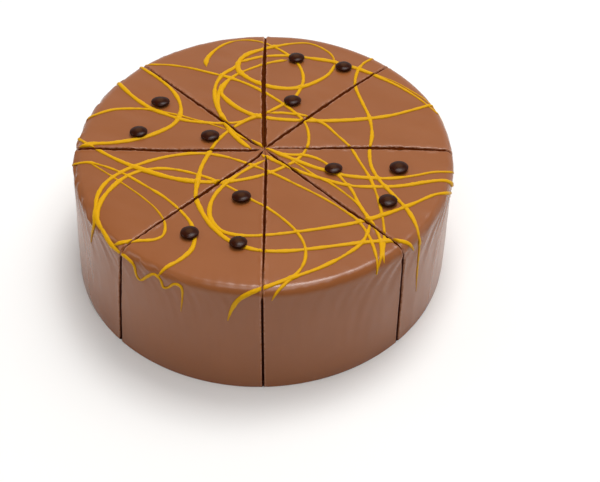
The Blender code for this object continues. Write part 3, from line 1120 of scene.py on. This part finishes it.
def sample(lines, where):
    """Values of lines, (samples, ring, 3), at fractional sample numbers, (rows, ring)."""
    low = np.clip(np.floor(where).astype(int), 0, len(lines) - 2)
    share = (where - low)[..., None]
    ring = np.arange(lines.shape[1])[None, :]
    return lines[low, ring] * (1 - share) + lines[low + 1, ring] * share


def thread_rings(line, normal, width, lift):
    """Rings of points round a thread's line, (samples, ring, 3), and their heights over the line."""
    sideways = unit(np.cross(normal, unit(np.gradient(line, axis=0))))
    rise = THREAD_RISE * width
    high = rise[:, None] * RING[:, 1] + lift[:, None] * (RING[:, 1] > UPPER_RING)
    rings = line[:, None] + sideways[:, None] * (width[:, None] / 2 * RING[:, 0])[..., None]
    return rings + normal[:, None] * high[..., None], high


def thread_beads(line, number, width, lift):
    """A thread's beads on one slice, cut off clean at the cuts: points and their thickness."""
    normal = glaze_normal(line, number, THREAD_NORMAL_STEP)
    normals = np.repeat(normal[:, None], len(RING), axis=1)
    rings, high = thread_rings(line, normal, width, lift)
    near = room(rings, number)
    inside = room(line, number) > 0
    starts = np.flatnonzero(inside & ~np.concatenate([[False], inside[:-1]]))
    ends = np.flatnonzero(inside & ~np.concatenate([inside[1:], [False]]))
    gone = along(line)
    for first, last in zip(starts, ends):
        if last - first < 2:
            continue
        reach = min(EDGE_REACH, (last - first) // 3)
        starts_at = np.array([edge_crossing(clear, first, -1, reach) for clear in near.T])
        ends_at = np.array([edge_crossing(clear, last, 1, reach) for clear in near.T])
        rows = max(3, int((gone[last] - gone[first]) / THREAD_STEP) + 1)
        share = np.linspace(0, 1, rows)[:, None]
        where = starts_at * (1 - share) + ends_at * share
        points = push_inside(sample(rings, where), number)
        curled = lip(np.maximum(0, room(points, number)), points)
        points = points + sample(normals, where) * curled[..., None]
        yield points, sample(np.maximum(0, high)[..., None], where)[..., 0]


def capped_bead(points, thick, start):
    """A bead's points, thickness and faces, with its ends closed. Start is its first point's number."""
    rows, ring = thick.shape
    ends = [0, -1]
    found = np.vstack([points.reshape(-1, 3), points[ends].mean(axis=1)])
    thickness = np.concatenate([thick.reshape(-1), thick[ends].mean(axis=1)])
    here = start + np.arange(ring)
    after = start + (np.arange(ring) + 1) % ring
    far = (rows - 1) * ring
    cap = np.full(ring, start + rows * ring)
    near_end = np.stack([after, here, cap, cap], axis=-1)
    far_end = np.stack([here + far, after + far, cap + 1, cap + 1], axis=-1)
    return found, thickness, np.vstack([grid_quads(rows, ring, start, around=True), near_end, far_end])


def laid_on_cake(route):
    """A route's points on the glaze of the slices that it passes over, and those slices' numbers."""
    numbers = slice_at(onto_glaze(route, 0))
    line = np.zeros((len(route), 3))
    for number in np.unique(numbers):
        line[numbers == number] = onto_glaze(route, number)[numbers == number]
    return line, np.unique(numbers)


def build_drizzle(finish):
    """All threads of egg liqueur as one piece. A later thread lies over an earlier one."""
    routes = {name: smooth_route(thread[3], ROUTE_STEP) for name, thread in THREADS.items()}
    laid = {name: laid_on_cake(route) for name, route in routes.items()}
    spread, spread_reach = CROSSING_WIDTH
    raised, raised_reach = CROSSING_LIFT
    order = list(THREADS)
    beads = []
    start = 0
    for place, name in enumerate(order):
        factors, first_tail, last_tail, _ = THREADS[name]
        earlier = np.vstack([np.zeros((0, 3))] + [laid[other][0] for other in order[:place]])
        others = np.vstack([laid[other][0] for other in order if other != name])
        for number in laid[name][1]:
            line = lay_thread(routes[name], number, (first_tail, last_tail))
            width = thread_size(line, factors, WIDTH_SEED + 2 * place)
            width *= 1 + spread * bell(nearest(line, others), spread_reach)
            lift = raised * bell(nearest(line, earlier), raised_reach)
            for points, thick in thread_beads(line, number, width, lift):
                beads.append(capped_bead(points, thick, start))
                start += len(beads[-1][0])
    points, thickness, faces = (np.concatenate(parts) for parts in zip(*beads))
    values = {"thickness": thickness * MM}
    make_piece("liqueur_drizzle", points, faces, finish, "liqueur_drizzle", values, sharp=60)


# ------------------------------------------------------------------------------- materials

SHARE, FIRST, SECOND = 0, 6, 7  # inputs of a Mix node of two colours, by their numbers
SPECK_SIZE = 7  # mm
SPECK_SQUASH = (1.0, 1.0, 2.6)  # specks are this many times flatter than they are wide
SPECK_EDGE = 0.03  # of the noise's range, over which a speck's colour starts


def colour(code):
    """A linear colour from an sRGB one written as six hex digits."""
    channels = [int(code[i : i + 2], 16) / 255 for i in (0, 2, 4)]
    linear = [c / 12.92 if c <= 0.04045 else ((c + 0.055) / 1.055) ** 2.4 for c in channels]
    return (*linear, 1.0)


def per_mm(size):
    """The scale at which a noise texture on object coordinates has features of a size in millimetres."""
    return MM / size


def feed(node, links):
    """Sets a node's inputs, or links them. A node stands for its first output that is in use."""
    for socket, value in links.items():
        if isinstance(value, bpy.types.Node):
            value = next(output for output in value.outputs if output.enabled)
        if isinstance(value, bpy.types.NodeSocket):
            node.id_data.links.new(value, node.inputs[socket])
        else:
            node.inputs[socket].default_value = value


def add(owner, kind, links, **settings):
    """Adds a node: settings are its properties, links its inputs' values or the nodes that feed them."""
    node = owner.node_tree.nodes.new(kind)
    for key, value in settings.items():
        setattr(node, key, value)
    feed(node, links)
    return node


def new_material(name, settings):
    """A Principled material with values for its shader's sockets, and that shader."""
    made = bpy.data.materials.new(name)
    made.use_nodes = True
    shader = made.node_tree.nodes["Principled BSDF"]
    feed(shader, settings)
    return made, shader


def milk_chocolate_glaze():
    """Milk chocolate glaze, poured and set: satin, faintly cloudy, and paler beside the cuts, as knife
    scuffs and painted highlight.
    """
    made, shader = new_material("milk_chocolate_glaze", {"IOR": 1.46})
    place = add(made, "ShaderNodeTexCoord", {}).outputs["Object"]
    near = add(made, "ShaderNodeAttribute", {}, attribute_name="cut").outputs["Fac"]
    noise = {"Vector": place, "Scale": per_mm(26), "Detail": 3.0, "Roughness": 0.5}
    cloud = add(made, "ShaderNodeTexNoise", noise)
    tones = {SHARE: cloud, FIRST: colour("8a4f27"), SECOND: colour("94572d")}
    cloudy = add(made, "ShaderNodeMix", tones, data_type="RGBA")
    flecks = add(made, "ShaderNodeTexNoise", {"Vector": place, "Scale": per_mm(2.2), "Detail": 2.0})
    edge = add(made, "ShaderNodeMapRange", {"Value": near, "From Min": 1.0, "From Max": 0.2})
    torn = add(made, "ShaderNodeMapRange", {"Value": flecks, "From Min": 0.35, "From Max": 0.6})
    scuff_and_lip_highlight = add(made, "ShaderNodeMath", {0: edge, 1: torn}, operation="MULTIPLY")
    # partly knife scuffs, partly a painted highlight: the glaze beside the cuts is painted paler and pinker
    tones = {SHARE: scuff_and_lip_highlight, FIRST: cloudy, SECOND: colour("aa7558")}
    scuffed_and_lit = add(made, "ShaderNodeMix", tones, data_type="RGBA")
    rough = add(made, "ShaderNodeMapRange", {"Value": cloud, "To Min": 0.22, "To Max": 0.29})
    fine = add(made, "ShaderNodeTexNoise", {"Vector": place, "Scale": per_mm(3.5), "Detail": 3.0})
    bump = add(made, "ShaderNodeBump", {"Strength": 0.12, "Distance": 0.0004, "Height": fine})
    feed(shader, {"Base Color": scuffed_and_lit, "Roughness": rough, "Normal": bump})
    return made


def whipped_chocolate_cream():
    """Chocolate cream, whipped and set, that the knife went through: dull, and a deep warm brown.

    Down the wall's cuts it is painted nearly black: painted shade in the narrow cuts.
    """
    settings = {"Roughness": 0.9, "Specular IOR Level": 0.05}
    made, shader = new_material("whipped_chocolate_cream", settings)
    place = add(made, "ShaderNodeTexCoord", {}).outputs["Object"]
    depth = add(made, "ShaderNodeAttribute", {}, attribute_name="depth").outputs["Fac"]
    grain = add(made, "ShaderNodeTexNoise", {"Vector": place, "Scale": per_mm(1.6), "Detail": 4.0})
    tones = {SHARE: grain, FIRST: colour("481700"), SECOND: colour("602300")}
    skin = add(made, "ShaderNodeMix", tones, data_type="RGBA")
    tones = {SHARE: grain, FIRST: colour("5c2a07"), SECOND: colour("713d0d")}
    body = add(made, "ShaderNodeMix", tones, data_type="RGBA")
    under = add(made, "ShaderNodeMapRange", {"Value": depth, "From Min": 0.6, "From Max": 1.8})
    whole = add(made, "ShaderNodeMix", {SHARE: under, FIRST: skin, SECOND: body}, data_type="RGBA")
    # painted shade: below this height the cut faces are painted nearly black, for the shade deep in the
    # narrow cuts
    height = add(made, "ShaderNodeSeparateXYZ", {"Vector": place}).outputs["Z"]
    down = add(made, "ShaderNodeMapRange", {"Value": height, "From Min": 0.077, "From Max": 0.070})
    tones = {SHARE: down, FIRST: whole, SECOND: colour("3b160a")}
    shaded = add(made, "ShaderNodeMix", tones, data_type="RGBA")
    bump = add(made, "ShaderNodeBump", {"Strength": 0.5, "Distance": 0.0004, "Height": grain})
    feed(shader, {"Base Color": shaded, "Normal": bump})
    return made


def dark_chocolate_shell():
    """Dark chocolate, tumbled into pearls: nearly black and satin, with a warmer, paler crown that is
    painted light.
    """
    settings = {"Specular IOR Level": 0.13, "IOR": 1.47}
    made, shader = new_material("dark_chocolate_shell", settings)
    place = add(made, "ShaderNodeTexCoord", {}).outputs["Object"]
    crown = add(made, "ShaderNodeAttribute", {}, attribute_name="crown").outputs["Fac"]
    spots = add(made, "ShaderNodeTexNoise", {"Vector": place, "Scale": per_mm(2.4), "Detail": 4.0})
    tones = {SHARE: spots, FIRST: colour("220901"), SECOND: colour("371202")}
    dark = add(made, "ShaderNodeMix", tones, data_type="RGBA")
    # painted light: the crown is painted warmer and paler, as if lit from above
    tones = {SHARE: crown, FIRST: dark, SECOND: colour("422410")}
    painted_light_crown = add(made, "ShaderNodeMix", tones, data_type="RGBA")
    rough = add(made, "ShaderNodeMapRange", {"Value": spots, "To Min": 0.18, "To Max": 0.26})
    bump = add(made, "ShaderNodeBump", {"Strength": 0.25, "Distance": 0.0003, "Height": spots})
    feed(shader, {"Base Color": painted_light_crown, "Roughness": rough, "Normal": bump})
    return made


def egg_liqueur():
    """Egg liqueur, poured in threads and set to a skin: deep egg yellow, browner where it lies thin."""
    settings = {"Roughness": 0.40, "IOR": 1.36, "Specular IOR Level": 0.12}
    made, shader = new_material("egg_liqueur", settings)
    place = add(made, "ShaderNodeTexCoord", {}).outputs["Object"]
    thick = add(made, "ShaderNodeAttribute", {}, attribute_name="thickness").outputs["Fac"]
    body = add(made, "ShaderNodeMapRange", {"Value": thick, "From Min": 0.05, "From Max": 0.6})
    tones = {SHARE: body, FIRST: colour("a66a06"), SECOND: colour("d59e08")}
    yellow = add(made, "ShaderNodeMix", tones, data_type="RGBA")
    cloud = add(made, "ShaderNodeTexNoise", {"Vector": place, "Scale": per_mm(5), "Detail": 2.0})
    patches = add(made, "ShaderNodeMapRange", {"Value": cloud, "To Min": 0.0, "To Max": 0.25})
    tones = {SHARE: patches, FIRST: yellow, SECOND: colour("c59008")}
    mixed = add(made, "ShaderNodeMix", tones, data_type="RGBA")
    feed(shader, {"Base Color": mixed})
    return made


def crumb(name, dark, light, pore, speck, specks):
    """A baked crumb or cream: two tones at its own grain, pores, and specks of another colour.

    The pores' size is in mm, and specks is the share of the noise's range in which they show. They are
    flatter than wide, as pieces pressed between layers are.
    """
    made, shader = new_material(name, {"Roughness": 0.85, "IOR": 1.4})
    place = add(made, "ShaderNodeTexCoord", {}).outputs["Object"]
    noise = {"Vector": place, "Scale": per_mm(pore), "Detail": 5.0, "Roughness": 0.6}
    grain = add(made, "ShaderNodeTexNoise", noise)
    tones = {SHARE: grain, FIRST: colour(dark), SECOND: colour(light)}
    tone = add(made, "ShaderNodeMix", tones, data_type="RGBA")
    flat = add(made, "ShaderNodeMapping", {"Vector": place, "Scale": SPECK_SQUASH})
    noise = {"Vector": flat, "Scale": per_mm(SPECK_SIZE), "Detail": 1.0}
    cells = add(made, "ShaderNodeTexNoise", noise)
    limits = {"Value": cells, "From Min": 1 - specks, "From Max": 1 - specks + SPECK_EDGE}
    share = add(made, "ShaderNodeMapRange", limits)
    tones = {SHARE: share, FIRST: tone, SECOND: colour(speck)}
    mixed = add(made, "ShaderNodeMix", tones, data_type="RGBA")
    bump = add(made, "ShaderNodeBump", {"Strength": 0.6, "Distance": 0.0006, "Height": grain})
    feed(shader, {"Base Color": mixed, "Normal": bump})
    return made


# ------------------------------------------------------------------------------ light and floor

ROOM = 0.205  # brightness of the dim room
BACKDROP = 0.9  # and of the backdrop
BACKDROP_WAY = (0.5, 0.87, 0.0)  # behind the cake and to its right
OVERHEAD_WATTS = 12.9
REAR_WATTS = 7.3
SIDE_WATTS = 2.0
AIM = Vector((0.0, 0.0, 0.05))  # the softboxes are turned to this point inside the cake
FLOOR_HALF = 6.0  # half of the floor's width
FLOOR_DROP = 0.0002  # the floor lies this much under the cake


def build_floor():
    """A plain pale floor, wide enough for every view."""
    ways = ((-1, -1), (1, -1), (1, 1), (-1, 1))
    corners = [(x * FLOOR_HALF, y * FLOOR_HALF, 0) for x, y in ways]
    mesh = bpy.data.meshes.new("floor")
    mesh.from_pydata(corners, [], [(0, 1, 2, 3)])
    made, _ = new_material("matt_white_board", {"Base Color": colour("f8f7f5"), "Roughness": 0.9})
    mesh.materials.append(made)
    floor = new_object("floor", mesh)
    floor.location.z = -FLOOR_DROP


def softbox(name, place, size, watts):
    """A rectangular softbox at a place, turned to the middle of the cake."""
    data = bpy.data.lights.new(name, "AREA")
    data.shape = "RECTANGLE"
    data.size, data.size_y = size
    data.energy = watts
    light = new_object(name, data)
    light.location = place
    light.rotation_euler = (AIM - Vector(place)).to_track_quat("-Z", "Y").to_euler()


def build_light():
    """Soft studio light: a large softbox overhead, one behind and a small one at the left.

    The room is dim, and a white backdrop stands behind the cake.
    """
    world = bpy.data.worlds.new("studio")
    bpy.context.scene.world = world
    world.use_nodes = True
    way = add(world, "ShaderNodeTexCoord", {}).outputs["Generated"]
    height = add(world, "ShaderNodeSeparateXYZ", {"Vector": way}).outputs["Z"]
    low = add(world, "ShaderNodeMapRange", {"Value": height, "From Min": 0.84, "From Max": 0.46})
    ahead = add(world, "ShaderNodeVectorMath", {0: way, 1: BACKDROP_WAY}, operation="DOT_PRODUCT")
    back = add(world, "ShaderNodeMapRange", {"Value": ahead, "From Min": 0.05, "From Max": 0.6})
    share = add(world, "ShaderNodeMath", {0: low, 1: back}, operation="MULTIPLY")
    light = add(world, "ShaderNodeMapRange", {"Value": share, "To Min": ROOM, "To Max": BACKDROP})
    feed(world.node_tree.nodes["Background"], {"Color": colour("ffffff"), "Strength": light})
    softbox("overhead_softbox", (0.2, -0.1, 1.4), (1.8, 0.75), OVERHEAD_WATTS)
    softbox("rear_softbox", (0.15, 0.33, 1.45), (0.5, 0.5), REAR_WATTS)
    softbox("side_softbox", (-1.1, -0.05, 0.95), (0.8, 0.35), SIDE_WATTS)
    bpy.context.scene.view_settings.view_transform = "Standard"


# ---------------------------------------------------------------------------------- the scene


def main():
    build_camera()
    build_floor()
    build_light()
    build_coats(milk_chocolate_glaze(), whipped_chocolate_cream())
    build_layers(
        {
            "dark_base": crumb("dark_chocolate_sponge", "4a2318", "6b3b2b", 1.2, "2a120c", 0.34),
            "pale_sponge": crumb("light_sponge", "b98a5c", "dcb88a", 1.6, "4a2617", 0.38),
            "cream": crumb("liqueur_cream", "dcc19c", "f0dfc6", 3.5, "5a3220", 0.36),
            "brown_sponge": crumb("marbled_sponge", "6e3d20", "b37a48", 1.8, "3c1a0e", 0.44),
        }
    )
    build_pearls(dark_chocolate_shell())
    build_drizzle(egg_liqueur())


main()
